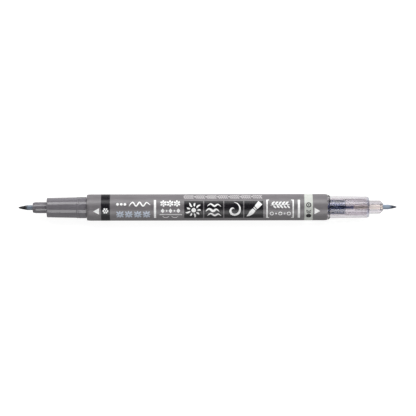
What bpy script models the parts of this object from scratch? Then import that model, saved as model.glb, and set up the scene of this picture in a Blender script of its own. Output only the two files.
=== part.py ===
"""Twin-tip calligraphy marker, caps off: a grey barrel with a black brush tip at one end and a grey
brush tip, in a clear front section, at the other.

The marker lies along X on the plane z = 0, its black end towards -X, with the origin under the middle of
its length. Units are metres. Each end is modelled outwards along its own +X from the barrel's end face,
and an empty turns it into place.
"""

import math
from typing import NamedTuple

import bmesh
import bpy
from mathutils import Matrix

MM = 0.001

# Barrel, the printed outer tube.
BARREL_RADIUS = 5.0 * MM
BARREL_LENGTH = 90.8 * MM
BARREL_WALL = 0.85 * MM
BARREL_EDGE = (1.0 * MM, 0.15 * MM)  # (length, depth) of the slight taper at each end
BARREL_CHAMFER = 0.15 * MM

# Ribs moulded inside the barrel, which centre the ink cores and stop the spigots and the divider.
RIB_COUNT = 6
RIB_HEIGHT = 1.2 * MM
RIB_WIDTH = 0.7 * MM
RIB_ROOT = 0.3 * MM  # how far a rib runs into the wall that carries it

# Plug that keeps the two inks apart, with a cup in each face.
DIVIDER_THICKNESS = 3.0 * MM
DIVIDER_CUP = 0.9 * MM
DIVIDER_LEDGE = 0.6 * MM  # how far the rim of a cup laps over the ink core it stops

# Front sections. Their spigots push into the barrel.
SPIGOT_LENGTH = 8.5 * MM
SPIGOT_LEAD = 0.3 * MM  # chamfer on a spigot's inner end
FRONT_WALL = 1.2 * MM  # thickness of a section's front, which its nib holder seats against

# Nib holders.
HOLDER_DEPTH = 9.05 * MM  # from a section's front face back to the rear of its holder
FEED_SOCKET = 3.3 * MM  # depth of the hole behind the nib that takes the feed

# Feeds, and the ink cores in their film sleeves.
FEED_RADIUS = 0.55 * MM
FEED_BITE = 6.0 * MM  # how far a feed runs into its ink core
FILM_WALL = 0.12 * MM

# Brush tips.
TIP_POINT = 0.22  # radius near the point, as a share of the radius at the root
TIP_ROUNDING = 8  # a higher power keeps the rounding of the point closer to its end

# Clearances between pieces: across the axis, and along it where one seats on another.
FIT_GAP = 0.15 * MM
SEAT_GAP = 0.2 * MM

BEND_LIMIT = math.radians(25)  # how far a brush tip bends either way

SIDES = 40  # facets round the shells
SMALL_SIDES = 24  # facets round the nibs and what is behind them
ARC_STEPS = 3
BRUSH_STEPS = 6


class End(NamedTuple):
    """The sizes of one end of the marker."""

    name: str
    side: int  # -1 at the barrel's -X end, 1 at its +X end
    section_length: float  # from the barrel's end face to the section's front face
    core_room: float  # gap between the ink core's film and the section's bore
    rear_wall: float  # thickness of the section next to the barrel
    front_wall: float  # thickness of the section near its front face
    section_edge: tuple  # (length, depth) of the round edge of the front face
    collar: tuple  # (length, step at the barrel, step in front) of the ring against the barrel
    nose_radius: float
    nose_length: float  # how far the nib holder stands out of the section
    nose_edge: tuple  # (length, depth) of the chamfer round the nib holder's mouth
    tip_radius: float
    tip_length: float  # how far the brush tip stands out of the nib holder
    tip_straight: float  # the share of that length which is straight


BLACK = End(
    name="black",
    side=-1,
    section_length=15.2 * MM,
    core_room=0.2 * MM,
    rear_wall=0.93 * MM,
    front_wall=0.68 * MM,
    section_edge=(0.35 * MM, 0.3 * MM),
    collar=(2.8 * MM, 0.09 * MM, 0.09 * MM),
    nose_radius=2.1 * MM,
    nose_length=5.3 * MM,
    nose_edge=(1.0 * MM, 0.25 * MM),
    tip_radius=0.95 * MM,
    tip_length=5.45 * MM,
    tip_straight=0.4,
)
GREY = End(
    name="grey",
    side=1,
    section_length=15.85 * MM,
    core_room=0.5 * MM,
    rear_wall=0.8 * MM,
    front_wall=0.65 * MM,
    section_edge=(1.0 * MM, 1.0 * MM),
    collar=(0.75 * MM, 0.7 * MM, 0.2 * MM),
    nose_radius=2.45 * MM,
    nose_length=5.1 * MM,
    nose_edge=(1.0 * MM, 0.95 * MM),
    tip_radius=0.9 * MM,
    tip_length=5.3 * MM,
    tip_straight=0.4,
)

# Worked out from the sizes above.
BARREL_BORE = BARREL_RADIUS - BARREL_WALL
RIB_TOP = BARREL_BORE - RIB_HEIGHT
SPIGOT_RADIUS = BARREL_BORE - FIT_GAP
FILM_RADIUS = RIB_TOP - FIT_GAP
CORE_RADIUS = FILM_RADIUS - FILM_WALL - FIT_GAP
CORE_REAR = -(BARREL_LENGTH / 2 - DIVIDER_THICKNESS / 2 - SEAT_GAP)
AXIS_HEIGHT = BARREL_RADIUS * math.cos(math.pi / SIDES)  # a flat of the barrel lies on z = 0


def clear_scene():
    for old in list(bpy.data.objects):
        bpy.data.objects.remove(old)


def material(name, colour, roughness, transmission=0.0):
    made = bpy.data.materials.new(name)
    made.use_nodes = True
    shader = made.node_tree.nodes["Principled BSDF"]
    shader.inputs["Base Color"].default_value = (*colour, 1.0)
    shader.inputs["Roughness"].default_value = roughness
    shader.inputs["Metallic"].default_value = 0.0
    shader.inputs["Transmission Weight"].default_value = transmission
    made.diffuse_color = (*colour, 1.0 - 0.6 * transmission)
    return made


def empty(name, parent=None, place=(0, 0, 0), turn=0.0):
    made = bpy.data.objects.new(name, None)
    made.parent = parent
    made.location = place
    made.rotation_euler = (0, 0, turn)
    bpy.context.scene.collection.objects.link(made)
    return made


def arc(centre, across, along, start, end):
    """Points (x, radius) of a quarter or less of an ellipse about centre, from start to end in radians."""
    turns = [start + (end - start) * step / ARC_STEPS for step in range(ARC_STEPS + 1)]
    return [(centre[0] + along * math.cos(t), centre[1] + across * math.sin(t)) for t in turns]


def turned_mesh(outline, sides):
    """A bmesh turned about X from an outline of (x, radius). An outline with both ends on the axis makes a
    solid, and any other is a closed loop that makes a ring. A flat, not a corner, faces down."""
    form = bmesh.new()
    corners = [form.verts.new((x, 0, radius)) for x, radius in outline]
    solid = outline[0][1] == 0 and outline[-1][1] == 0
    following = corners[1:] if solid else corners[1:] + corners[:1]
    edges = [form.edges.new(pair) for pair in zip(corners, following)]
    bmesh.ops.spin(
        form,
        geom=corners + edges,
        cent=(0, 0, 0),
        axis=(1, 0, 0),
        angle=2 * math.pi,
        steps=sides,
        use_merge=True,
    )
    bmesh.ops.remove_doubles(form, verts=form.verts, dist=1e-7)
    bmesh.ops.recalc_face_normals(form, faces=form.faces)
    bmesh.ops.rotate(form, verts=form.verts, matrix=Matrix.Rotation(math.pi / sides, 3, "X"))
    return form


def place(name, form, finish, parent, at=(0, 0, 0)):
    mesh = bpy.data.meshes.new(name)
    form.to_mesh(mesh)
    form.free()
    mesh.materials.append(finish)
    mesh.shade_smooth()
    mesh.set_sharp_from_angle(angle=math.radians(30))
    made = bpy.data.objects.new(name, mesh)
    made.parent = parent
    made.location = at
    bpy.context.scene.collection.objects.link(made)
    return made


def rib_comb(parent):
    """The barrel's ribs, in two lengths with room for the divider between them. It is joined to the barrel
    by a Boolean, so it isn't a piece of its own."""
    form = bmesh.new()
    start = DIVIDER_THICKNESS / 2 + SEAT_GAP
    end = BARREL_LENGTH / 2 - SPIGOT_LENGTH - SEAT_GAP
    depth = RIB_HEIGHT + RIB_ROOT
    size = Matrix.Diagonal((end - start, RIB_WIDTH, depth, 1))
    for side in (-1, 1):
        stand = Matrix.Translation((side * (start + end) / 2, 0, RIB_TOP + depth / 2))
        for rib in range(RIB_COUNT):
            turn = Matrix.Rotation(2 * math.pi * rib / RIB_COUNT, 4, "X")
            bmesh.ops.create_cube(form, size=1, matrix=turn @ stand @ size)
    mesh = bpy.data.meshes.new("barrel_ribs")
    form.to_mesh(mesh)
    form.free()
    made = bpy.data.objects.new("barrel_ribs", mesh)
    made.parent = parent
    made.hide_render = True
    made.display_type = "WIRE"
    bpy.context.scene.collection.objects.link(made)
    return made


def build_barrel(axis, finish):
    half = BARREL_LENGTH / 2
    edge, depth = BARREL_EDGE
    right = [
        (half - edge, BARREL_RADIUS),
        (half - BARREL_CHAMFER, BARREL_RADIUS - depth),
        (half, BARREL_RADIUS - depth - BARREL_CHAMFER),
        (half, BARREL_BORE),
    ]
    left = [(-x, radius) for x, radius in reversed(right)]
    made = place("barrel", turned_mesh(left + right, SIDES), finish, axis)
    join = made.modifiers.new("ribs", "BOOLEAN")
    join.operation = "UNION"
    join.solver = "EXACT"
    join.object = rib_comb(axis)


def build_divider(axis, finish):
    face = DIVIDER_THICKNESS / 2
    cup = face - DIVIDER_CUP
    outer = BARREL_BORE - FIT_GAP
    inner = CORE_RADIUS - DIVIDER_LEDGE
    outline = [(-cup, 0), (-cup, inner), (-face, inner), (-face, outer)]
    outline += [(-x, radius) for x, radius in reversed(outline)]
    place("ink_divider", turned_mesh(outline, SIDES), finish, axis)


def section_bore(end):
    return FILM_RADIUS + end.core_room


def seat(end):
    """Where the front wall of the section stops its nib holder."""
    return end.section_length - FRONT_WALL


def holder_rear(end):
    return end.section_length - HOLDER_DEPTH


def core_front(end):
    return holder_rear(end) - SEAT_GAP


def mouth(end):
    """Where the brush tip leaves the nib holder, which is also the joint it bends about."""
    return end.section_length + end.nose_length


def reach(end):
    """How far the end stands out of the barrel, to the point of its brush tip."""
    return mouth(end) + end.tip_length


def build_section(end, base, finish):
    length = end.section_length
    edge, depth = end.section_edge
    collar_length, rear_step, front_step = end.collar
    bore = section_bore(end)
    rear, front = bore + end.rear_wall, bore + end.front_wall
    waist = min(rear - 2 * FIT_GAP, SPIGOT_RADIUS)
    front_bore = end.nose_radius + FIT_GAP
    front_edge = arc((length - edge, front - depth), depth, edge, math.pi / 2, 0)
    outline = [
        (-SPIGOT_LENGTH, SPIGOT_RADIUS - SPIGOT_LEAD),
        (SPIGOT_LEAD - SPIGOT_LENGTH, SPIGOT_RADIUS),
        (-SEAT_GAP, SPIGOT_RADIUS),
        (-SEAT_GAP, waist),
        (SEAT_GAP, waist),
        (SEAT_GAP, rear + rear_step),
        (SEAT_GAP + collar_length, rear + front_step),
        (SEAT_GAP + collar_length, rear),
        *front_edge,
        (length, front_bore),
        (seat(end), front_bore),
        (seat(end), bore),
        (-SPIGOT_LENGTH, bore),
    ]
    place(f"{end.name}_section", turned_mesh(outline, SIDES), finish, base)


def build_holder(end, base, finish):
    rear, shoulder, front = holder_rear(end), seat(end) - SEAT_GAP, mouth(end)
    edge, depth = end.nose_edge
    body = section_bore(end) - FIT_GAP
    feed_hole = FEED_RADIUS + FIT_GAP
    nib_hole = end.tip_radius + FIT_GAP
    mouth_hole = end.tip_radius / math.cos(BEND_LIMIT) + FIT_GAP
    flare = end.tip_radius + SEAT_GAP  # how far back the wider mouth runs, to clear the tip's round root
    outline = [
        (rear, feed_hole),
        (rear, body),
        (shoulder, body),
        (shoulder, end.nose_radius),
        (front - edge, end.nose_radius),
        (front, end.nose_radius - depth),
        (front, mouth_hole),
        (front - flare, mouth_hole),
        (front - flare - (mouth_hole - nib_hole), nib_hole),
        (rear + FEED_SOCKET, nib_hole),
        (rear + FEED_SOCKET, feed_hole),
    ]
    place(f"{end.name}_nib_holder", turned_mesh(outline, SIDES), finish, base)


def build_nib_stem(end, base, finish):
    """The part of the nib that its holder grips."""
    rear = holder_rear(end) + FEED_SOCKET + SEAT_GAP
    front = mouth(end) - end.tip_radius - SEAT_GAP
    outline = [(rear, 0), (rear, end.tip_radius), (front, end.tip_radius), (front, 0)]
    place(f"{end.name}_nib_stem", turned_mesh(outline, SMALL_SIDES), finish, base)


def build_brush_tip(end, base, finish):
    """The part of the nib that bends. Its root is a ball about the joint, so it stays clear of the stem."""
    radius, length = end.tip_radius, end.tip_length
    straight = end.tip_straight * length
    root = [(-radius * math.cos(t), radius * math.sin(t)) for t in (0, math.pi / 6, math.pi / 3)]
    brush = []
    for step in range(BRUSH_STEPS):
        along = math.sin(math.pi / 2 * step / BRUSH_STEPS)
        share = (1 - (1 - TIP_POINT) * along) * math.sqrt(1 - along**TIP_ROUNDING)
        brush.append((straight + (length - straight) * along, radius * share))
    outline = [*root, (0, radius), *brush, (length, 0)]
    place(f"{end.name}_brush_tip", turned_mesh(outline, SMALL_SIDES), finish, base, at=(mouth(end), 0, 0))


def build_feed(end, base, finish):
    rear = core_front(end) - FEED_BITE
    front = holder_rear(end) + FEED_SOCKET - SEAT_GAP
    outline = [(rear, 0), (rear, FEED_RADIUS), (front, FEED_RADIUS), (front, 0)]
    place(f"{end.name}_feed", turned_mesh(outline, SMALL_SIDES), finish, base)


def build_ink_core(end, base, finish):
    hole = FEED_RADIUS + FIT_GAP
    front = core_front(end)
    hole_end = front - FEED_BITE - SEAT_GAP
    outline = [
        (CORE_REAR, 0),
        (CORE_REAR, CORE_RADIUS),
        (front, CORE_RADIUS),
        (front, hole),
        (hole_end, hole),
        (hole_end, 0),
    ]
    place(f"{end.name}_ink_core", turned_mesh(outline, SMALL_SIDES), finish, base)


def build_core_film(end, base, finish):
    inner, front = FILM_RADIUS - FILM_WALL, core_front(end)
    outline = [(CORE_REAR, inner), (CORE_REAR, FILM_RADIUS), (front, FILM_RADIUS), (front, inner)]
    place(f"{end.name}_core_film", turned_mesh(outline, SMALL_SIDES), finish, base)


def build_end(end, axis, finishes):
    half = BARREL_LENGTH / 2
    base = empty(f"{end.name}_end", axis, (end.side * half, 0, 0), math.pi if end.side < 0 else 0.0)
    build_section(end, base, finishes["section"])
    build_holder(end, base, finishes["holder"])
    build_nib_stem(end, base, finishes["nib"])
    build_brush_tip(end, base, finishes["tip"])
    build_feed(end, base, finishes["feed"])
    build_ink_core(end, base, finishes["core"])
    build_core_film(end, base, finishes["film"])


def build_marker():
    clear_scene()
    grey_plastic = material("barrel_grey", (0.19, 0.18, 0.19), 0.4)
    clear_plastic = material("clear_plastic", (0.82, 0.8, 0.83), 0.05, transmission=1.0)
    film = material("core_film", (0.85, 0.86, 0.88), 0.2, transmission=0.8)
    nib = material("nib_elastomer", (0.25, 0.32, 0.4), 0.35)
    black_ink = material("black_ink_fibre", (0.012, 0.012, 0.015), 0.8)
    grey_ink = material("grey_ink_fibre", (0.035, 0.045, 0.08), 0.8)
    black_tip = material("black_ink_tip", (0.02, 0.019, 0.022), 0.45)
    grey_tip = material("grey_ink_tip", (0.05, 0.055, 0.08), 0.45)
    off_centre = (reach(BLACK) - reach(GREY)) / 2
    axis = empty("marker_axis", place=(off_centre, 0, AXIS_HEIGHT))
    build_barrel(axis, grey_plastic)
    build_divider(axis, grey_plastic)
    black_finishes = {
        "section": grey_plastic,
        "holder": grey_plastic,
        "nib": nib,
        "tip": black_tip,
        "feed": black_ink,
        "core": black_ink,
        "film": film,
    }
    grey_finishes = {
        "section": clear_plastic,
        "holder": clear_plastic,
        "nib": nib,
        "tip": grey_tip,
        "feed": grey_ink,
        "core": grey_ink,
        "film": film,
    }
    build_end(BLACK, axis, black_finishes)
    build_end(GREY, axis, grey_finishes)


build_marker()
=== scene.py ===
"""Twin-tip calligraphy marker: the printed barrel, its two front sections, the nibs and the ink behind them, and the
table and soft lights they are seen on."""

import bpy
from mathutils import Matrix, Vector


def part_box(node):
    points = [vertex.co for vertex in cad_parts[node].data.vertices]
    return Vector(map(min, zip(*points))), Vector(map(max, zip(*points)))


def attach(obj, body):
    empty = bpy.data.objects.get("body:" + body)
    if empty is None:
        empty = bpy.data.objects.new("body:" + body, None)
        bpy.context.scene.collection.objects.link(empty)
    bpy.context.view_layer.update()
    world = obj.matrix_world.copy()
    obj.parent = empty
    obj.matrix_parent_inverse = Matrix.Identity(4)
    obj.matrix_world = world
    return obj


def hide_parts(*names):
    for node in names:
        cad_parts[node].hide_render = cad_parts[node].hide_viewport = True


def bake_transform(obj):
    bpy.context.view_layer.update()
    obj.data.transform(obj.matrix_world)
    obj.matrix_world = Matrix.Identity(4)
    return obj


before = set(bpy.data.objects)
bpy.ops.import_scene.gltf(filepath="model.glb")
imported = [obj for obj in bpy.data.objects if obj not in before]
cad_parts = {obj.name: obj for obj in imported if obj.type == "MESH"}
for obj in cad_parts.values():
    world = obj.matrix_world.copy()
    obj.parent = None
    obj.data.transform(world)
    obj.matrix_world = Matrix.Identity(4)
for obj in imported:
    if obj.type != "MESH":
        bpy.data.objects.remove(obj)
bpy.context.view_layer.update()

import math

import bmesh
import bpy
from bpy.props import FloatProperty, FloatVectorProperty, IntProperty, PointerProperty
from mathutils import Matrix, Vector

bl_info = {
    "name": "Twin-tip calligraphy marker",
    "version": (1, 0, 0),
    "blender": (4, 5, 0),
    "location": "3D View > Sidebar > Marker",
    "description": "Builds a marker with a brush tip at each end, piece by piece",
    "category": "Object",
}

MM = 0.001
BARREL_LOW, BARREL_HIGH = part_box("barrel")
AXIS_HEIGHT = (BARREL_LOW.z + BARREL_HIGH.z) / 2
BARREL_RADIUS = (BARREL_HIGH.z - BARREL_LOW.z) / 2
FACING = math.radians(60)  # the print's middle faces this far above the horizon, on the -Y side
SIDES = ("black", "grey")


def length(name, description, default):
    return FloatProperty(name=name, description=description, default=default, min=0.0, unit="LENGTH", precision=5)


def colour(name, description, default):
    return FloatVectorProperty(
        name=name, description=description, default=default, size=3, min=0.0, max=1.0, subtype="COLOR"
    )


class MARKER_PG_barrel(bpy.types.PropertyGroup):
    """Sizes and colours of the barrel and its print."""

    wall: length("Wall", "Thickness of the tube", 0.85 * MM)
    edge_length: length("Edge length", "Length of the slight taper at each end", 1.0 * MM)
    edge_depth: length("Edge depth", "Depth of the slight taper at each end", 0.15 * MM)
    rib_height: length("Rib height", "How far the ribs stand in from the bore", 1.2 * MM)
    rib_width: length("Rib width", "Thickness of a rib", 0.7 * MM)
    rib_end: length("Rib end", "From the barrel's end to the ribs", 8.8 * MM)
    rib_gap: length("Rib gap", "From the plug's face to the ribs", 0.2 * MM)
    ink: length("Ink thickness", "Thickness of the printed ink", 0.012 * MM)
    body: colour("Barrel", "Satin plastic of the tube", (0.15, 0.14, 0.149))
    white: colour("White ink", "Bars, arrows and brush strokes", (0.95, 0.95, 0.95))
    black: colour("Black ink", "Squares and the band at the black end", (0.007, 0.006, 0.009))
    blue: colour("Blue ink", "The four ornaments", (0.5, 0.56, 0.66))
    pale: colour("Pale ink", "The fine row over the squares", (0.52, 0.5, 0.51))
    band: colour("Band ink", "The band at the grey end", (0.56, 0.58, 0.545))


class MARKER_PG_ends(bpy.types.PropertyGroup):
    """Sizes and colours of the pieces at the two ends."""

    seat_gap: length("Seat gap", "Gap left where one piece stops against another", 0.2 * MM)
    front_wall: length("Front wall", "Thickness of a section's front", 1.2 * MM)
    holder_depth: length("Holder depth", "From a section's front face back to the rear of its nib holder", 9.05 * MM)
    socket: length("Feed socket", "Depth of the hole that takes the feed", 3.3 * MM)
    grip: colour("Grip", "Glossy plastic of the black end", (0.15, 0.142, 0.158))
    clear: colour("Clear plastic", "Tint of the grey end", (0.72, 0.695, 0.72))
    nib_stem: colour("Nib stem", "The nib where no ink has reached its skin", (1.0, 0.93, 0.8))
    nib_root: colour("Nib root", "The nib where it leaves its holder", (0.26, 0.33, 0.43))
    black_ink: colour("Black ink", "Ink of the black end", (0.01, 0.009, 0.011))
    grey_ink: colour("Grey ink", "Ink of the grey end", (0.045, 0.057, 0.105))


class MARKER_PG_stage(bpy.types.PropertyGroup):
    """Table, lights and camera."""

    floor: colour("Floor", "Matte table top", (0.16, 0.16, 0.16))
    glow: FloatProperty(name="Glow", description="Light that comes up through the table top", default=0.93, min=0.0)
    key: FloatProperty(name="Key", description="Brightness of the strip light overhead", default=2.8, min=0.0)
    front: FloatProperty(name="Front", description="Brightness of the panel in front", default=2.4, min=0.0)
    top: FloatProperty(name="Top", description="Brightness of the shadowless light above", default=1.7, min=0.0)
    fill: FloatProperty(name="Fill", description="Light seen only through clear plastic", default=8.5, min=0.0)
    sky: FloatProperty(name="Sky", description="Strength of the light from all round", default=0.15, min=0.0)
    width: length("View width", "Width of the picture at the marker", 157.3 * MM)
    distance: length("Distance", "From the camera to the marker", 1100 * MM)
    yaw: FloatProperty(
        name="Yaw",
        description="Turn of the camera towards the black end",
        default=math.radians(0.0),
        subtype="ANGLE",
    )
    roll: FloatProperty(
        name="Roll", description="Turn of the picture", default=math.radians(0.11), subtype="ANGLE"
    )
    segments: IntProperty(name="Segments", description="Facets round a turned piece", default=128, min=16)


# Shapes


def outline_edges(form, points, closed):
    """A line through (x, radius, rounding) points in the XZ plane, with its corners rounded off."""
    corners = [form.verts.new((x, 0, radius)) for x, radius, *_ in points]
    following = corners[1:] + corners[:1] if closed else corners[1:]
    for pair in zip(corners, following):
        form.edges.new(pair)
    rounded = [(v, p[2]) for v, p in zip(corners, points) if len(p) > 2 and p[2] > 0]
    for corner, rounding in rounded:
        bmesh.ops.bevel(
            form,
            geom=[corner],
            offset=rounding,
            offset_type="OFFSET",
            affect="VERTICES",
            segments=5,
            profile=0.5,
            material=-1,
        )


def turned(points, base, side, segments):
    """A piece turned about the marker's axis. Its outline runs outwards from x = base, towards side. An outline
    with both ends on the axis is solid, and any other closes on itself into a ring."""
    form = bmesh.new()
    solid = points[0][1] == 0 and points[-1][1] == 0
    outline_edges(form, points, not solid)
    bmesh.ops.spin(
        form,
        geom=form.verts[:] + form.edges[:],
        cent=(0, 0, 0),
        axis=(1, 0, 0),
        angle=2 * math.pi,
        steps=segments,
        use_merge=True,
    )
    bmesh.ops.remove_doubles(form, verts=form.verts, dist=1e-7)
    bmesh.ops.scale(form, vec=(side, 1, 1), verts=form.verts)
    bmesh.ops.translate(form, vec=(base, 0, AXIS_HEIGHT), verts=form.verts)
    bmesh.ops.recalc_face_normals(form, faces=form.faces)
    return form


def finished(name, form, look, body="marker", stands_for=(), sharp=35):
    """The bmesh as an object with its look, riding on its body."""
    mesh = bpy.data.meshes.new(name)
    form.to_mesh(mesh)
    form.free()
    mesh.materials.append(look)
    mesh.shade_smooth()
    mesh.set_sharp_from_angle(angle=math.radians(sharp))
    made = bpy.data.objects.new(name, mesh)
    bpy.context.scene.collection.objects.link(made)
    if body:
        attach(made, body)
    if stands_for:
        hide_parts(*stands_for)
    return made


class End:
    """Where one end's pieces lie. x runs outwards from the barrel's end face."""

    def __init__(self, name, sizes):
        self.name = name
        self.side = -1 if name == "black" else 1
        self.base = BARREL_LOW.x if name == "black" else BARREL_HIGH.x
        self.front = self.reach(f"{name}_section")
        self.mouth = self.reach(f"{name}_nib_holder")
        self.point = self.reach(f"{name}_brush_tip")
        self.rear = self.front - sizes.holder_depth
        self.seat = self.front - sizes.front_wall
        self.gap = sizes.seat_gap
        self.core_front = self.reach(f"{name}_ink_core")
        self.core_rear = self.reach(f"{name}_ink_core", inner=True)
        self.feed_rear = self.reach(f"{name}_feed", inner=True)
        self.feed_front = self.reach(f"{name}_feed")
        self.stem_rear = self.reach(f"{name}_nib_stem", inner=True)
        self.film = self.radius(f"{name}_core_film")
        self.feed = self.radius(f"{name}_feed")
        self.nib = self.radius(f"{name}_nib_stem")
        self.body = self.radius(f"{name}_nib_holder")

    def reach(self, node, inner=False):
        """How far outwards a node's outer end lies, or its inner end."""
        low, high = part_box(node)
        outer = low.x if self.side < 0 else high.x
        back = high.x if self.side < 0 else low.x
        return ((back if inner else outer) - self.base) * self.side

    def radius(self, node):
        """A round node's outer radius."""
        low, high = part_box(node)
        return (high.z - low.z) / 2

    def at(self, x):
        """The marker's own x of a place that lies x outwards from the barrel's end face."""
        return self.base + self.side * x


# Looks


def look(name, rgb, roughness, **more):
    """A Principled material. more holds other inputs by their names, with _ for a space."""
    made = bpy.data.materials.new(name)
    made.use_nodes = True
    shader = made.node_tree.nodes["Principled BSDF"]
    shader.inputs["Base Color"].default_value = (*rgb, 1)
    shader.inputs["Roughness"].default_value = roughness
    for key, value in more.items():
        shader.inputs[key.replace("_", " ")].default_value = value
    made.diffuse_color = (*rgb, 1)
    return made, made.node_tree, shader


def node(tree, kind, inputs=None, **settings):
    """A node of one kind, with its settings and with its inputs set to values or linked to sockets."""
    made = tree.nodes.new("ShaderNode" + kind)
    for key, value in settings.items():
        setattr(made, key, value)
    for key, value in (inputs or {}).items():
        if isinstance(value, bpy.types.NodeSocket):
            tree.links.new(value, made.inputs[key])
        else:
            made.inputs[key].default_value = value
    return made


def math_node(tree, operation, *values):
    return node(tree, "Math", dict(enumerate(values)), operation=operation).outputs[0]


def place_coordinates(tree, stretch=(1, 1, 1)):
    """Coordinates in the marker's frame, centred on its axis."""
    coordinates = node(tree, "TexCoord").outputs["Object"]
    return node(
        tree,
        "Mapping",
        {"Vector": coordinates, "Location": (0, 0, -AXIS_HEIGHT * stretch[2]), "Scale": stretch},
    ).outputs[0]


def noise(tree, place, scale, detail=3.0, rough=0.5):
    return node(
        tree, "TexNoise", {"Vector": place, "Scale": scale, "Detail": detail, "Roughness": rough}
    ).outputs["Fac"]


def spread(tree, value, low, high, start=0.3, end=0.7):
    return node(
        tree,
        "MapRange",
        {"Value": value, "From Min": start, "From Max": end, "To Min": low, "To Max": high},
    ).outputs[0]


def mixed(tree, factor, first, second):
    made = tree.nodes.new("ShaderNodeMix")
    made.data_type = "RGBA"
    for socket, value in ((made.inputs[0], factor), (made.inputs[6], first), (made.inputs[7], second)):
        if isinstance(value, bpy.types.NodeSocket):
            tree.links.new(value, socket)
        else:
            socket.default_value = value if isinstance(value, float) else (*value, 1)
    return made.outputs[2]


def shade(rgb, factor):
    return tuple(min(1.0, c * factor) for c in rgb)


def bump(tree, shader, height, depth, strength=1.0):
    made = node(tree, "Bump", {"Height": height, "Distance": depth, "Strength": strength})
    tree.links.new(made.outputs[0], shader.inputs["Normal"])


def satin_plastic(name, rgb):
    """Lacquered plastic: a soft sheen over a fine grain, with faint clouding and scuffs along the barrel."""
    made, tree, shader = look(name, rgb, 0.42, Specular_IOR_Level=0.75, Coat_Weight=0.35, Coat_Roughness=0.24)
    place = place_coordinates(tree)
    clouds = noise(tree, place, 160, 3)
    grain = noise(tree, place, 5200, 2)
    scuffs = noise(tree, place_coordinates(tree, (0.12, 1, 1)), 2600, 4, 0.65)
    tint = mixed(tree, spread(tree, clouds, 0.0, 1.0), shade(rgb, 0.93), shade(rgb, 1.06))
    tint = mixed(tree, spread(tree, grain, 0.0, 0.5, 0.4, 0.75), tint, shade(rgb, 1.18))
    tree.links.new(tint, shader.inputs["Base Color"])
    tree.links.new(spread(tree, scuffs, 0.36, 0.5), shader.inputs["Roughness"])
    bump(tree, shader, grain, 0.004 * MM, 0.5)
    return made


def gloss_plastic(name, rgb):
    """Moulded plastic with a polished skin: faint flow clouding, and a ripple that breaks up its highlights."""
    made, tree, shader = look(name, rgb, 0.12, Coat_Weight=0.8, Coat_Roughness=0.04)
    place = place_coordinates(tree)
    flow = noise(tree, place_coordinates(tree, (0.35, 1, 1)), 420, 3)
    ripple = noise(tree, place, 380, 2)
    specks = noise(tree, place, 4300, 3, 0.6)
    tint = mixed(tree, spread(tree, flow, 0.0, 1.0), shade(rgb, 0.9), shade(rgb, 1.1))
    tree.links.new(tint, shader.inputs["Base Color"])
    tree.links.new(spread(tree, specks, 0.08, 0.18), shader.inputs["Roughness"])
    bump(tree, shader, ripple, 0.02 * MM, 0.5)
    return made


def clear_plastic(name, rgb, roughness=0.03, ior=1.49, edges=(), grooves=0, painted_shade_from=None):
    """Clear plastic with a faint smoky tint and the slight waviness of a moulding. At each of its edges its tint is
    painted darker, a painted reflection of dim surroundings in the inside of a bend, and along its grooves, a count of
    fine lines round it, it is painted darker as painted shade. From a place its caller gives outwards the whole of it
    is painted a little darker, painted shade."""
    made, tree, shader = look(name, rgb, roughness, IOR=ior, Transmission_Weight=1.0)
    # the edge tint is a painted reflection and the groove tint is painted shade
    painted_edge_reflection, painted_groove_shade, soft = (0.42, 0.43, 0.52), (0.46, 0.42, 0.48), 0.15 * MM
    place = place_coordinates(tree, (0.4, 1, 1))
    tint = mixed(tree, spread(tree, noise(tree, place, 300, 2), 0.0, 1.0), shade(rgb, 0.96), shade(rgb, 1.02))
    along = node(tree, "SeparateXYZ", {"Vector": place_coordinates(tree)}).outputs[0]
    # painted shade: from this place outwards the same plastic is tinted darker
    if painted_shade_from is not None:
        beyond = spread(tree, along, 0.0, 1.0, painted_shade_from - soft, painted_shade_from + soft)
        tint = mixed(tree, beyond, tint, shade(rgb, 0.84))
    # painted reflection: the tint is darker close to each edge
    for edge in edges:
        off = math_node(tree, "ABSOLUTE", math_node(tree, "SUBTRACT", along, edge))
        tint = mixed(tree, spread(tree, off, 1.0, 0.0, soft, 3 * soft), tint, painted_edge_reflection)
    # painted shade: darker lines of tint round it, along its grooves
    if grooves:
        tint = mixed(tree, lines_round(tree, grooves, 0.04, 0.13), tint, painted_groove_shade)
    tree.links.new(tint, shader.inputs["Base Color"])
    bump(tree, shader, noise(tree, place, 450, 2), 0.006 * MM, 0.4)
    return made


def lines_round(tree, count, inner, outer):
    """1 on each of count evenly spaced lines that run along the marker, one of them facing the print's middle. It
    falls to 0 between the inner and outer shares of their spacing."""
    axes = node(tree, "SeparateXYZ", {"Vector": place_coordinates(tree)})
    turn = math_node(tree, "ARCTAN2", axes.outputs[2], math_node(tree, "MULTIPLY", axes.outputs[1], -1.0))
    turns = math_node(tree, "MULTIPLY", math_node(tree, "SUBTRACT", turn, FACING), count / (2 * math.pi))
    beside = math_node(tree, "ABSOLUTE", math_node(tree, "SUBTRACT", turns, math_node(tree, "ROUND", turns)))
    return spread(tree, beside, 1.0, 0.0, inner, outer)


def fibre(name, rgb):
    """Fibres running along the marker, soaked with ink."""
    made, tree, shader = look(name, rgb, 0.7, Specular_IOR_Level=0.1, Coat_Roughness=0.16, Coat_IOR=2.3)
    aside = node(tree, "LayerWeight", {"Blend": 0.5}).outputs["Facing"]
    tree.links.new(spread(tree, aside, 1.0, 0.0, 0.24, 0.45), shader.inputs["Coat Weight"])
    strands = noise(tree, place_coordinates(tree, (0.03, 1, 1)), 5200, 3, 0.6)
    blots = noise(tree, place_coordinates(tree), 700, 3)
    tint = mixed(tree, spread(tree, strands, 0.0, 1.0), shade(rgb, 0.6), shade(rgb, 2.4))
    tint = mixed(tree, spread(tree, blots, 0.0, 0.5), tint, shade(rgb, 0.5))
    tree.links.new(tint, shader.inputs["Base Color"])
    bump(tree, shader, strands, 0.03 * MM, 0.6)
    return made


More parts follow.
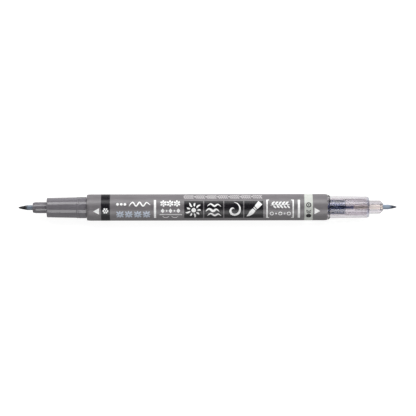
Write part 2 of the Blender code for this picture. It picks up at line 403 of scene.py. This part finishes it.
def nib_rubber(name, end, stem, root, ink, soak):
    """Elastomer: pale where its holder grips it, with fine ink channels, tinted at the root, and dark with ink from
    soak, a share of its free length, to the point."""
    made, tree, shader = look(name, root, 0.38, Coat_Weight=0.3, Coat_Roughness=0.2)
    place = place_coordinates(tree)
    axes = node(tree, "SeparateXYZ", {"Vector": place})
    out = math_node(tree, "MULTIPLY", math_node(tree, "SUBTRACT", axes.outputs[0], end.at(end.mouth)), end.side)
    share = math_node(tree, "DIVIDE", out, end.point - end.mouth)
    ragged = spread(tree, noise(tree, place, 1500, 4, 0.6), -0.06, 0.06)
    edge = math_node(tree, "ADD", share, ragged)
    streaks = noise(tree, place_coordinates(tree, (0.08, 1, 1)), 3800, 3)
    channel = lines_round(tree, 3, 0.01, 0.03)
    pale = mixed(tree, spread(tree, streaks, 0.0, 1.0), shade(stem, 0.92), shade(stem, 1.06))
    pale = mixed(tree, channel, pale, shade(ink, 6.0))
    tinted = mixed(tree, spread(tree, streaks, 0.0, 1.0), shade(root, 0.8), shade(root, 1.2))
    skin = mixed(tree, spread(tree, share, 0.0, 1.0, -0.06, 0.02), pale, tinted)
    wet = spread(tree, edge, 0.0, 1.0, soak - 0.09, soak + 0.09)
    tree.links.new(mixed(tree, wet, skin, ink), shader.inputs["Base Color"])
    tree.links.new(spread(tree, wet, 0.42, 0.24, 0.0, 1.0), shader.inputs["Roughness"])
    bump(tree, shader, streaks, 0.008 * MM, 0.6)
    return made


def printed_ink(name, rgb, roughness=0.3):
    """Screen-printed ink: an even film, a little thin in places."""
    made, tree, shader = look(name, rgb, roughness)
    place = place_coordinates(tree)
    thin = noise(tree, place, 2600, 3, 0.6)
    tint = mixed(tree, spread(tree, thin, 0.0, 1.0, 0.25, 0.6), shade(rgb, 0.86), rgb)
    tree.links.new(tint, shader.inputs["Base Color"])
    tree.links.new(spread(tree, thin, roughness + 0.08, roughness - 0.06), shader.inputs["Roughness"])
    bump(tree, shader, thin, 0.002 * MM, 0.5)
    return made


def table_top(name, rgb, glow):
    """Matte white sheet, lit from below so that shadows on it stay faint."""
    made, tree, shader = look(name, rgb, 0.7, Emission_Color=(1, 1, 1, 1), Emission_Strength=glow)
    place = node(tree, "TexCoord").outputs["Object"]
    tint = mixed(tree, spread(tree, noise(tree, place, 14, 3), 0.0, 1.0), shade(rgb, 0.97), rgb)
    tree.links.new(tint, shader.inputs["Base Color"])
    return made


# Print


class Print:
    """Marks of one ink, drawn flat and then wrapped on the barrel. x runs along the marker from its middle and y
    round the barrel, upwards from the print's middle line. Both are in millimetres."""

    LAYER = 0.001 * MM  # each mark lies this much over the one before, so that crossing strokes don't share a face
    STRIP = math.radians(4)  # widest step round the barrel that a face may span

    def __init__(self, lift=0.0):
        self.form = bmesh.new()
        self.lift = lift
        self.layers = 0

    def add(self, verts, shift=(0.0, 0.0), turn=0.0, size=1.0):
        """Puts new vertices in place, over the marks before them."""
        self.layers += 1
        z = self.lift + self.layers * self.LAYER
        place = Matrix.Translation((shift[0] * MM, shift[1] * MM, z)) @ Matrix.Rotation(turn, 4, "Z")
        bmesh.ops.transform(self.form, matrix=place @ Matrix.Scale(size * MM, 4), verts=verts)

    def bar(self, x, y, width, height, turn=0.0):
        made = bmesh.ops.create_grid(self.form, x_segments=1, y_segments=1, size=0.5)["verts"]
        bmesh.ops.scale(self.form, vec=(width, height, 1), verts=made)
        self.add(made, (x, y), turn)

    def dot(self, x, y, radius, sides=16, turn=0.0, squeeze=1.0):
        made = bmesh.ops.create_circle(self.form, cap_ends=True, radius=radius, segments=sides)["verts"]
        bmesh.ops.scale(self.form, vec=(1, squeeze, 1), verts=made)
        self.add(made, (x, y), turn)

    def stroke(self, points, widths, shift=(0.0, 0.0), turn=0.0, size=1.0):
        """A brush stroke: an edge across the line's start, extruded from point to point as its width changes."""
        path = [Vector((*p, 0)) for p in points]
        edge, made = None, []
        for i, (point, width) in enumerate(zip(path, widths)):
            along = (path[min(i + 1, len(path) - 1)] - path[max(i - 1, 0)]).normalized()
            across = Vector((-along.y, along.x, 0)) * width / 2
            if edge is None:
                ends = [self.form.verts.new(point + across), self.form.verts.new(point - across)]
                edge = self.form.edges.new(ends)
            else:
                grown = bmesh.ops.extrude_edge_only(self.form, edges=[edge])["geom"]
                fresh = [g for g in grown if isinstance(g, bmesh.types.BMVert)]
                fresh.sort(key=lambda v: (v.co - ends[0].co).length - (v.co - ends[1].co).length)
                for v, co in zip(fresh, (point + across, point - across)):
                    v.co = co
                edge = next(g for g in grown if isinstance(g, bmesh.types.BMEdge) and set(g.verts) == set(fresh))
                ends = fresh
            made += ends
        self.add(made, shift, turn, size)

    def curve(self, anchors, width, taper=0.5, steps=14, **where):
        """A stroke along a smooth curve through its anchors, thick in the middle and drawn out at both ends."""
        path = [smooth_point(anchors, i / steps) for i in range(steps + 1)]
        swell = [max(0.06, math.sin(math.pi * (i + 0.4) / (steps + 0.8)) ** taper) for i in range(steps + 1)]
        self.stroke(path, [width * s for s in swell], **where)

    def wrapped(self, thickness):
        """The marks given their thickness and laid on the barrel."""
        form = self.form
        reach = max(abs(v.co.y) for v in form.verts)
        step = self.STRIP * BARREL_RADIUS
        for i in range(-int(reach / step), int(reach / step) + 1):
            bmesh.ops.bisect_plane(
                form,
                geom=form.verts[:] + form.edges[:] + form.faces[:],
                dist=1e-8,
                plane_co=(0, i * step, 0),
                plane_no=(0, 1, 0),
            )
        grown = bmesh.ops.extrude_face_region(form, geom=form.faces[:], use_keep_orig=True)["geom"]
        top = [g for g in grown if isinstance(g, bmesh.types.BMVert)]
        bmesh.ops.translate(form, vec=(0, 0, 2 * thickness), verts=top)
        for v in form.verts:
            turn = FACING + v.co.y / BARREL_RADIUS
            radius = BARREL_RADIUS + v.co.z - thickness
            v.co = (v.co.x, -radius * math.cos(turn), AXIS_HEIGHT + radius * math.sin(turn))
        bmesh.ops.recalc_face_normals(form, faces=form.faces)
        return form


def smooth_point(anchors, share):
    """The point at a share of a Catmull-Rom curve through the anchors."""
    spans = len(anchors) - 1
    i = min(int(share * spans), spans - 1)
    t = share * spans - i
    p = [Vector(anchors[min(max(i + k, 0), spans)]) for k in (-1, 0, 1, 2)]
    return (
        p[1] * 2
        + (p[2] - p[0]) * t
        + (p[0] * 2 - p[1] * 5 + p[2] * 4 - p[3]) * t * t
        + (p[1] * 3 - p[0] - p[2] * 3 + p[3]) * t * t * t
    ) / 2


def arc_steps(low, high, count):
    """Evenly spaced values from low to high, both included."""
    return [low + (high - low) * i / count for i in range(count + 1)]


def ring_of(turns, radius):
    """The points at these turns on a circle."""
    return [(radius * math.cos(t), radius * math.sin(t)) for t in turns]


class MARKER_OT_barrel(bpy.types.Operator):
    """Barrel: a plain tube with slightly tapered, softened ends, and the ribs inside it"""

    bl_idname = "marker.barrel"
    bl_label = "Barrel"

    def execute(self, context):
        sizes = context.scene.marker_barrel
        bore = BARREL_RADIUS - sizes.wall
        span = BARREL_HIGH.x - BARREL_LOW.x
        edge, depth = sizes.edge_length, sizes.edge_depth
        lip = BARREL_RADIUS - depth
        points = [
            (0, bore),
            (0, lip, 0.12 * MM),
            (edge, BARREL_RADIUS, 0.3 * MM),
            (span - edge, BARREL_RADIUS, 0.3 * MM),
            (span, lip, 0.12 * MM),
            (span, bore),
        ]
        form = turned(points, BARREL_LOW.x, 1, context.scene.marker_stage.segments)
        self.ribs(form, bore, sizes)
        finished(
            "barrel_tube", form, satin_plastic("satin_barrel", sizes.body), stands_for=["barrel"]
        )
        plug = satin_plastic("divider_plastic", sizes.body)
        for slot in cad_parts["ink_divider"].material_slots:
            slot.material = plug
        return {"FINISHED"}

    def ribs(self, form, bore, sizes):
        """Ribs along the bore, in two lengths with room for the plug between them."""
        plug_low, plug_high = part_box("ink_divider")
        root, count = 0.3 * MM, 6
        for low, high in (
            (BARREL_LOW.x + sizes.rib_end, plug_low.x - sizes.rib_gap),
            (plug_high.x + sizes.rib_gap, BARREL_HIGH.x - sizes.rib_end),
        ):
            for i in range(count):
                made = bmesh.ops.create_cube(form, size=1)["verts"]
                bmesh.ops.scale(form, vec=(high - low, sizes.rib_width, sizes.rib_height + root), verts=made)
                stand = Matrix.Translation(((low + high) / 2, 0, bore + (root - sizes.rib_height) / 2))
                turn = Matrix.Rotation(2 * math.pi * i / count, 4, "X")
                lift = Matrix.Translation((0, 0, AXIS_HEIGHT))
                bmesh.ops.transform(form, matrix=lift @ turn @ stand, verts=made)


class MARKER_OT_print(bpy.types.Operator):
    """Print: bands, arrows, bars, ornaments and the four squares with brush strokes"""

    bl_idname = "marker.print"
    bl_label = "Print"

    def execute(self, context):
        sizes = context.scene.marker_barrel
        white, black = Print(lift=0.012 * MM), Print()
        blue, pale, dark = Print(), Print(), Print(lift=0.012 * MM)
        self.arrows_and_bars(white)
        self.ornaments(white, blue)
        self.squares(black, white)
        self.fine_row(pale)
        self.brackets(white)
        self.band_marks(white, dark)
        for name, marks, rgb in (
            ("print_white", white, sizes.white),
            ("print_squares", black, sizes.black),
            ("print_blue", blue, sizes.blue),
            ("print_fine_row", pale, sizes.pale),
            ("print_band_marks", dark, sizes.black),
        ):
            finished(name, marks.wrapped(sizes.ink), printed_ink(name + "_ink", rgb))
        for name, low, high, rgb in (
            ("print_black_band", -40.15, -36.8, sizes.black),
            ("print_pale_band", 36.5, 39.65, sizes.band),
        ):
            inner, outer = BARREL_RADIUS - sizes.ink, BARREL_RADIUS + sizes.ink
            span = (high - low) * MM
            points = [(0, inner), (0, outer), (span, outer), (span, inner)]
            form = turned(points, low * MM, 1, context.scene.marker_stage.segments)
            finished(name, form, printed_ink(name + "_ink", rgb))
        return {"FINISHED"}

    def arrows_and_bars(self, white):
        white.dot(-41.6, -1.53, 1.52, sides=3, turn=math.pi / 2)
        white.dot(41.0, -1.49, 1.47, sides=3, turn=-math.pi / 2)
        for x in (-19.8, 34.4):
            white.bar(x, -0.78, 0.85, 7.5)

    def ornaments(self, white, blue):
        """At the black end: three dots and a flourish over four rosettes, then flowers over lozenges, a line and two
        swashes."""
        for x in (-33.9, -32.5, -31.1):
            white.dot(x, 1.2, 0.52)
        flourish = [(-29.6, 0.5), (-28.2, 2.0), (-26.9, 0.5), (-25.6, 2.0), (-24.3, 0.5), (-23.0, 1.9), (-21.6, 0.9)]
        white.curve(flourish, 0.55, taper=0.35, steps=36)
        for x in (-32.98, -29.7, -26.3, -23.0):
            for i in range(8):
                petal = [(0.45, 0.0), (1.0, 0.1), (1.75 if i % 2 else 1.45, 0.0)]
                blue.curve(petal, 0.62, taper=0.6, steps=6, shift=(x, -2.83), turn=i * math.pi / 4)
            blue.curve(ring_of(arc_steps(0, 2 * math.pi, 12), 0.42), 0.3, taper=0.0, steps=24, shift=(x, -2.83))
        for x in (-16.6, -14.1, -11.5):
            white.dot(x, 1.5, 0.26, sides=10)
            for i in range(6):
                petal = [(0.4, 0.0), (0.85, 0.06), (1.3, 0.0)]
                white.curve(petal, 0.66, taper=0.6, steps=6, shift=(x, 1.5), turn=(i + 0.5) * math.pi / 3)
        for i, x in enumerate(arc_steps(-16.9, -11.0, 4)):
            if i % 2:
                white.dot(x, -1.3, 0.36)
            else:
                white.dot(x, -1.3, 0.78, sides=4, squeeze=1.15)
        white.bar(-13.85, -2.86, 8.4, 0.24)
        for x in (-17.0, -13.6):
            white.curve([(x, -3.55), (x + 0.7, -4.2), (x + 1.7, -4.25), (x + 2.5, -3.6)], 0.26, taper=0.3)

    def squares(self, black, white):
        """Four black squares: a sun, waves, a swirl and a brush."""
        first, pitch, middle = -5.22, 7.54, -1.05
        width, height = 7.15, 7.1
        for i in range(4):
            black.bar(first + i * pitch, middle, width, height)
        rays = 9
        white.dot(first, middle, 0.85, sides=24)
        for i in range(rays):
            ray = [(1.35, -0.1), (2.1, 0.12), (3.2 if i % 2 else 2.7, -0.05)]
            white.curve(ray, 0.68, taper=0.8, steps=8, turn=2 * math.pi * i / rays, shift=(first, middle))
        crests = ((-2.7, -0.45), (-1.4, 0.5), (0.1, -0.35), (1.3, 0.3), (2.5, -0.5))
        for x, y, thickness in ((0.2, 1.85, 0.66), (-0.35, 0.0, 0.86), (0.3, -1.85, 0.74)):
            wave = [(x + along, y + up) for along, up in crests]
            white.curve(wave, thickness, taper=0.75, steps=36, shift=(first + pitch, middle))
        swirl = [
            ((0.5 + 0.36 * t) * math.cos(1.2 + t), (0.5 + 0.36 * t) * math.sin(1.2 + t) * 1.05)
            for t in arc_steps(0, 6.6, 22)
        ]
        white.curve(swirl, 0.9, taper=0.7, steps=60, shift=(first + 2 * pitch, middle))
        self.brush(white, (first + 3 * pitch, middle))

    def brush(self, white, middle):
        """A flat brush lying across its square: handle, ferrule and a pointed head."""
        where = {"shift": middle, "turn": math.radians(48)}
        white.stroke([(1.25, 0), (1.8, 0), (2.6, 0), (3.75, 0)], [1.5, 1.7, 1.85, 2.0], **where)
        white.stroke([(0.5, 0), (0.95, 0)], [1.4, 1.45], **where)
        head = [(-3.75, 0.15), (-3.2, 0.1), (-2.4, 0.0), (-1.5, 0), (-0.6, 0), (0.25, 0)]
        white.stroke(head, [0.08, 0.6, 1.2, 1.65, 1.6, 1.3], **where)

    def fine_row(self, pale):
        """A feathered border over the squares: leaning pairs of strokes, with a dot after every fifth pair."""
        start, pitch, count = -8.6, 0.72, 41
        middle, lean = 4.6, 0.55
        for i in range(count):
            x = start + i * pitch
            if i % 6 == 5:
                pale.dot(x, middle, 0.34, sides=12)
                continue
            for side in (-1, 1):
                pale.bar(x, middle + side * 0.56, 0.4, 1.24, turn=-side * lean)

    def brackets(self, white):
        """A pair of brackets round a leafy twig over a row of rings and dots."""
        for x, side in ((22.4, 1), (32.25, -1)):
            white.bar(x, -0.78, 0.5, 7.5)
            for y in (2.85, -4.4):
                white.bar(x + side * 0.5, y, 0.55, 0.34)
        white.curve([(23.7, 0.7), (25.4, 1.1), (27.3, 0.8), (29.2, 1.1), (31.0, 0.9)], 0.3, taper=0.3, steps=24)
        for i in range(5):
            x = 24.2 + i * 1.3
            for side, start in ((1, 0.0), (-1, 0.6)):
                leaf = [(x + start + along, 0.9 + side * off) for along, off in ((0.0, 0.12), (0.45, 0.75), (1.1, 1.2))]
                white.curve(leaf, 0.66, taper=0.8, steps=10)
        for i in range(5):
            x = 24.2 + i * 1.6
            if i % 2:
                white.dot(x, -2.45, 0.36, sides=12)
            else:
                ring = ring_of(arc_steps(0, 2 * math.pi, 14), 0.62)
                white.curve(ring, 0.3, taper=0.0, steps=28, shift=(x, -2.45))

    def band_marks(self, white, dark):
        """On the black band a small flower, and on the pale band a ringed dot, two chevrons and a large dot."""
        x, y = -38.45, -1.28
        for turn in arc_steps(0, 2 * math.pi, 6)[:-1]:
            white.dot(x + 0.78 * math.cos(turn), y + 0.78 * math.sin(turn), 0.36, sides=10)
        white.dot(x, y, 0.28, sides=10)
        x = 38.1
        dark.curve(ring_of(arc_steps(0, 2 * math.pi, 16), 0.8), 0.36, taper=0.0, steps=32, shift=(x, 0.85))
        dark.dot(x, 0.85, 0.3, sides=10)
        dark.curve([(x - 0.95, -1.1), (x, -1.6), (x + 0.95, -1.1)], 0.34, taper=0.2, steps=8)
        dark.curve([(x - 0.95, -1.7), (x, -2.2), (x + 0.95, -1.7)], 0.34, taper=0.2, steps=8)
        dark.dot(x, -3.5, 0.98, sides=20)


class MARKER_OT_sections(bpy.types.Operator):
    """Front sections: the glossy grip at the black end and the clear one at the grey end, each with its nib holder"""

    bl_idname = "marker.sections"
    bl_label = "Sections and nib holders"

    def execute(self, context):
        sizes = context.scene.marker_ends
        segments = context.scene.marker_stage.segments
        grip = gloss_plastic("grip_gloss", sizes.grip)
        grey = End("grey", sizes)
        lip = 0.55 * MM
        # painted reflection: a darker ring of tint at the clear section's front edge
        clear = clear_plastic("clear_section", sizes.clear, edges=[grey.at(grey.front - lip)])
        # painted shade: darker groove lines on the holder, and the holder tinted darker beyond the section's front
        grooved = clear_plastic("clear_holder", sizes.clear, grooves=10, painted_shade_from=grey.at(grey.front))
        details = {
            "black": {
                "spigot": (-8.5, 4.0, 0.3),
                "bore": 3.0,
                "rear": 3.93,
                "front": 3.68,
                "edge": (0.35, 0.3),
                "collar": (2.8, 4.02, 4.02),
                "bead": [(3.12, 3.93), (3.3, 4.03, 0.08), (3.75, 4.0, 0.08), (3.95, 3.9)],
                "nose": 2.1,
                "nose_edge": (1.0, 0.25),
                "look": grip,
                "nose_look": grip,
                "slot": "grip",
            },
            "grey": {
                "spigot": (-8.5, 4.0, 0.3),
                "bore": 3.3,
                "rear": 4.1,
                "front": 3.95,
                "edge": (1.0, 1.0),
                "collar": (0.75, 4.8, 4.3),
                "bead": [],
                "nose": 2.45,
                "nose_edge": (1.0, 0.95),
                "look": clear,
                "nose_look": grooved,
                "slot": "clear",
            },
        }
        for name in SIDES:
            end = End(name, sizes)
            self.section(end, details[name], segments)
            self.holder(end, details[name], segments, sizes)
        return {"FINISHED"}

    def section(self, end, d, segments):
        gap = end.gap / MM
        front, seat = end.front / MM, end.seat / MM
        rear_x, spigot, lead = d["spigot"]
        collar, collar_rear, collar_front = d["collar"]
        waist = min(d["rear"] - 0.3, spigot)
        edge, depth = d["edge"]
        hole = d["nose"] + 0.15
        points = [
            (rear_x, spigot - lead),
            (rear_x + lead, spigot),
            (-gap, spigot),
            (-gap, waist),
            (gap, waist),
            (gap, collar_rear, 0.04),
            (gap + collar, collar_front, 0.1),
            (gap + collar + 0.05, d["rear"], 0.0),
            *d["bead"],
            (front - edge, d["front"]),
            *(
                (front - edge + edge * math.sin(t), d["front"] - depth + depth * math.cos(t))
                for t in (math.pi / 2 * i / 10 for i in range(1, 11))
            ),
            (front, hole, 0.05),
            (seat, hole, 0.05),
            (seat, d["bore"], 0.1),
            (rear_x, d["bore"]),
        ]
        form = turned([tuple(v * MM for v in p) for p in points], end.base, end.side, segments)
        finished(
            f"{end.name}_front_section", form, d["look"], stands_for=[f"{end.name}_section"], sharp=25
        )

    def holder(self, end, d, segments, sizes):
        body = end.body
        nib_hole, feed_hole = end.nib + 0.15 * MM, end.feed + 0.15 * MM
        mouth_hole = end.nib / math.cos(math.radians(25)) + 0.15 * MM
        shoulder = end.seat - end.gap
        nose = d["nose"] * MM
        edge, depth = (v * MM for v in d["nose_edge"])
        flare = end.nib + end.gap
        soft = 0.08 * MM
        points = [
            (end.rear, feed_hole),
            (end.rear, body, soft),
            (shoulder, body, soft),
            (shoulder, nose),
            (end.mouth - edge, nose, 0.3 * MM),
            (end.mouth, nose - depth, soft),
            (end.mouth, mouth_hole, soft / 2),
            (end.mouth - flare, mouth_hole),
            (end.mouth - flare - (mouth_hole - nib_hole), nib_hole),
            (end.rear + sizes.socket, nib_hole),
            (end.rear + sizes.socket, feed_hole),
        ]
        form = turned(points, end.base, end.side, segments)
        finished(
            f"{end.name}_nose", form, d["nose_look"], stands_for=[f"{end.name}_nib_holder"], sharp=25
        )


class MARKER_OT_nibs(bpy.types.Operator):
    """Nibs: one soft piece each, from the feed to the brush's point"""

    bl_idname = "marker.nibs"
    bl_label = "Nibs"

    def execute(self, context):
        sizes = context.scene.marker_ends
        for name, ink, soak, tint in (
            ("black", sizes.black_ink, 0.42, 0.5),
            ("grey", shade(sizes.grey_ink, 0.4), 0.56, 0.8),
        ):
            end = End(name, sizes)
            root = shade(sizes.nib_root, tint)
            form = turned(self.outline(end), end.base, end.side, 64)
            skin = nib_rubber(f"{name}_nib_rubber", end, sizes.nib_stem, root, ink, soak)
            nodes = [f"{name}_nib_stem", f"{name}_brush_tip"]
            made = finished(f"{name}_nib", form, skin, body=None, stands_for=nodes, sharp=60)
            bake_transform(made)
        return {"FINISHED"}

    def outline(self, end):
        radius, free = end.nib, end.point - end.mouth
        straight = 0.4 * free
        points = [(end.stem_rear, 0), (end.stem_rear, radius * 0.8), (end.stem_rear + 0.3 * MM, radius)]
        steps = 24
        points += [(end.mouth - 0.6 * MM + (straight + 0.6 * MM) * i / 8, radius) for i in range(8)]
        for i in range(steps):
            along = math.sin(math.pi / 2 * i / steps)
            share = (1 - 0.7 * along) * math.sqrt(1 - along**10)
            points.append((end.mouth + straight + (free - straight) * along, radius * share))
        return [*points, (end.point, 0)]


class MARKER_OT_ink(bpy.types.Operator):
    """Ink: the fibre cores in their film sleeves, and the feeds that lead from them to the nibs"""

    bl_idname = "marker.ink"
    bl_label = "Ink cores and feeds"

    def execute(self, context):
        sizes = context.scene.marker_ends
        segments = context.scene.marker_stage.segments // 2
        film = clear_plastic("core_film", (0.76, 0.8, 0.9), 0.05, 1.45)
        for name, ink in (("black", sizes.black_ink), ("grey", sizes.grey_ink)):
            end = End(name, sizes)
            soaked = fibre(f"{name}_ink_fibre", ink)
            wick = fibre(f"{name}_feed_fibre", shade(ink, 3.0))
            hole = end.feed + 0.15 * MM
            hole_end = end.feed_rear - end.gap
            film_wall = 0.12 * MM
            soaked_radius = end.film - 0.126 * MM
            core = [
                (end.core_rear, 0),
                (end.core_rear, soaked_radius),
                (end.core_front, soaked_radius, 0.15 * MM),
                (end.core_front, hole),
                (hole_end, hole),
                (hole_end, 0),
            ]
            sleeve = [
                (end.core_rear, end.film - film_wall),
                (end.core_rear, end.film),
                (end.core_front, end.film),
                (end.core_front, end.film - film_wall),
            ]
            rod = [
                (end.feed_rear, 0),
                (end.feed_rear, end.feed),
                (end.feed_front, end.feed, 0.2 * MM),
                (end.feed_front, 0),
            ]
            for piece, points, skin, node_name, slot in (
                ("core", core, soaked, "ink_core", f"{name}_ink"),
                ("sleeve", sleeve, film, "core_film", "film"),
                ("feed_rod", rod, wick, "feed", f"{name}_ink"),
            ):
                form = turned(points, end.base, end.side, segments)
                finished(f"{name}_{piece}", form, skin, stands_for=[f"{name}_{node_name}"])
        return {"FINISHED"}


class MARKER_OT_stage(bpy.types.Operator):
    """Stage: the table top, the soft lights and the camera"""

    bl_idname = "marker.stage"
    bl_label = "Table, lights and camera"

    def execute(self, context):
        scene, sizes = context.scene, context.scene.marker_stage
        middle = Vector((0, 0, AXIS_HEIGHT))
        form = bmesh.new()
        bmesh.ops.create_circle(form, cap_ends=True, radius=4, segments=64)
        bmesh.ops.translate(form, vec=(0, 0, -0.01 * MM), verts=form.verts)
        floor = finished("table_top", form, table_top("table_matte", sizes.floor, sizes.glow), body=None)
        floor.visible_glossy = False
        key = self.light("key_strip", sizes.key, 112, 0.0, (1.8, 0.45), middle)
        front = self.light("front_panel", sizes.front, 17, 0.6, (1.6, 0.56), middle)
        top = self.light("top_light", sizes.top, 118, 0.3, (1.8, 1.6), middle)
        fills = [
            self.light(f"fill_{i}", sizes.fill, 60, along, (1.6, 1.6), middle)
            for i, along in enumerate((-1.1, 1.1))
        ]
        for lamp in (key, front, top, *fills):
            lamp.visible_camera = False
        for lamp in fills:
            lamp.visible_diffuse = lamp.visible_glossy = False
            self.unseen(lamp.data)
        front.visible_diffuse = False
        top.visible_glossy = False
        self.sky(scene, sizes.sky)
        self.camera(scene, sizes, middle)
        scene.view_settings.view_transform = "Standard"
        scene.cycles.max_bounces = scene.cycles.transmission_bounces = 24
        return {"FINISHED"}

    def light(self, name, brightness, elevation, along, size, middle):
        """A soft panel turned towards the marker's axis and set off along it. Elevation is in degrees, from the -Y
        horizon."""
        distance = 0.9
        turn = math.radians(elevation)
        data = bpy.data.lights.new(name, "AREA")
        data.shape = "RECTANGLE"
        data.size, data.size_y = size
        data.energy = brightness * math.pi * size[0] * size[1]
        made = bpy.data.objects.new(name, data)
        bpy.context.scene.collection.objects.link(made)
        made.location = middle + Vector((along, -math.cos(turn) * distance, math.sin(turn) * distance))
        made.rotation_euler = (math.pi / 2 - turn, 0, 0)
        return made

    def unseen(self, data):
        """The lamp lights what it shines on through clear plastic, and doesn't show through the plastic itself."""
        data.use_nodes = True
        tree = data.node_tree
        bounces = node(tree, "LightPath").outputs["Diffuse Depth"]
        tree.links.new(math_node(tree, "MINIMUM", bounces, 1.0), tree.nodes["Emission"].inputs["Strength"])

    def sky(self, scene, strength):
        """White to the eye. What it sheds on the marker is dim overhead and brightest near the horizon, with a
        little from below, where the table top would send light up."""
        world = bpy.data.worlds.new("studio")
        scene.world = world
        world.use_nodes = True
        tree = world.node_tree
        tree.nodes.clear()
        axes = node(tree, "SeparateXYZ", {"Vector": node(tree, "TexCoord").outputs["Generated"]})
        low = spread(tree, axes.outputs[2], 3.5, 1.0, 0.0, 0.5)
        ahead = math_node(tree, "POWER", axes.outputs[1], 2.0)
        aside = math_node(tree, "MULTIPLY", math_node(tree, "POWER", axes.outputs[0], 2.0), 0.6)
        below = math_node(tree, "MAXIMUM", math_node(tree, "MULTIPLY", axes.outputs[2], -0.4), 0.0)
        across = math_node(tree, "ADD", math_node(tree, "ADD", ahead, aside), below)
        lit = node(
            tree,
            "Background",
            {"Strength": math_node(tree, "MULTIPLY", math_node(tree, "MULTIPLY", low, across), strength)},
        )
        lit.inputs["Color"].default_value = (1, 1, 1, 1)
        seen = node(tree, "Background", {"Color": (1, 1, 1, 1), "Strength": 1.0})
        path = node(tree, "LightPath").outputs["Is Camera Ray"]
        both = node(tree, "MixShader", {0: path, 1: lit.outputs[0], 2: seen.outputs[0]})
        out = node(tree, "OutputWorld")
        tree.links.new(both.outputs[0], out.inputs["Surface"])

    def camera(self, scene, sizes, middle):
        data = bpy.data.cameras.new("camera")
        data.sensor_width = 36
        data.lens = data.sensor_width * sizes.distance / sizes.width
        data.clip_start, data.clip_end = 0.01, 20
        made = bpy.data.objects.new("camera", data)
        scene.collection.objects.link(made)
        lean = math.pi / 2 - FACING
        aim = Matrix.Rotation(lean, 4, "X") @ Matrix.Rotation(-sizes.yaw, 4, "Y") @ Matrix.Rotation(-sizes.roll, 4, "Z")
        shift = Matrix.Translation((0.17 * MM, -0.25 * MM, sizes.distance))
        made.matrix_world = Matrix.Translation(middle) @ aim @ shift
        scene.camera = made


class MARKER_PT_panel(bpy.types.Panel):
    """The marker's sizes, colours and pieces"""

    bl_label = "Marker"
    bl_idname = "MARKER_PT_panel"
    bl_space_type = "VIEW_3D"
    bl_region_type = "UI"
    bl_category = "Marker"

    def draw(self, context):
        for group, operators in PANEL_ROWS:
            box = self.layout.box()
            settings = getattr(context.scene, group)
            for prop in settings.bl_rna.properties:
                if prop.identifier not in ("rna_type", "name"):
                    box.prop(settings, prop.identifier)
            for operator in operators:
                box.operator(operator.bl_idname)


PANEL_ROWS = (
    ("marker_barrel", (MARKER_OT_barrel, MARKER_OT_print)),
    ("marker_ends", (MARKER_OT_sections, MARKER_OT_nibs, MARKER_OT_ink)),
    ("marker_stage", (MARKER_OT_stage,)),
)
GROUPS = {
    "marker_barrel": MARKER_PG_barrel,
    "marker_ends": MARKER_PG_ends,
    "marker_stage": MARKER_PG_stage,
}
CLASSES = (*GROUPS.values(), *(operator for _, row in PANEL_ROWS for operator in row), MARKER_PT_panel)


def register():
    for made in CLASSES:
        bpy.utils.register_class(made)
    for name, group in GROUPS.items():
        setattr(bpy.types.Scene, name, PointerProperty(type=group))


def unregister():
    for name in GROUPS:
        delattr(bpy.types.Scene, name)
    for made in reversed(CLASSES):
        bpy.utils.unregister_class(made)


def main():
    register()
    for _, row in PANEL_ROWS:
        for operator in row:
            group, name = operator.bl_idname.split(".")
            getattr(getattr(bpy.ops, group), name)()


if __name__ == "__main__":
    main()
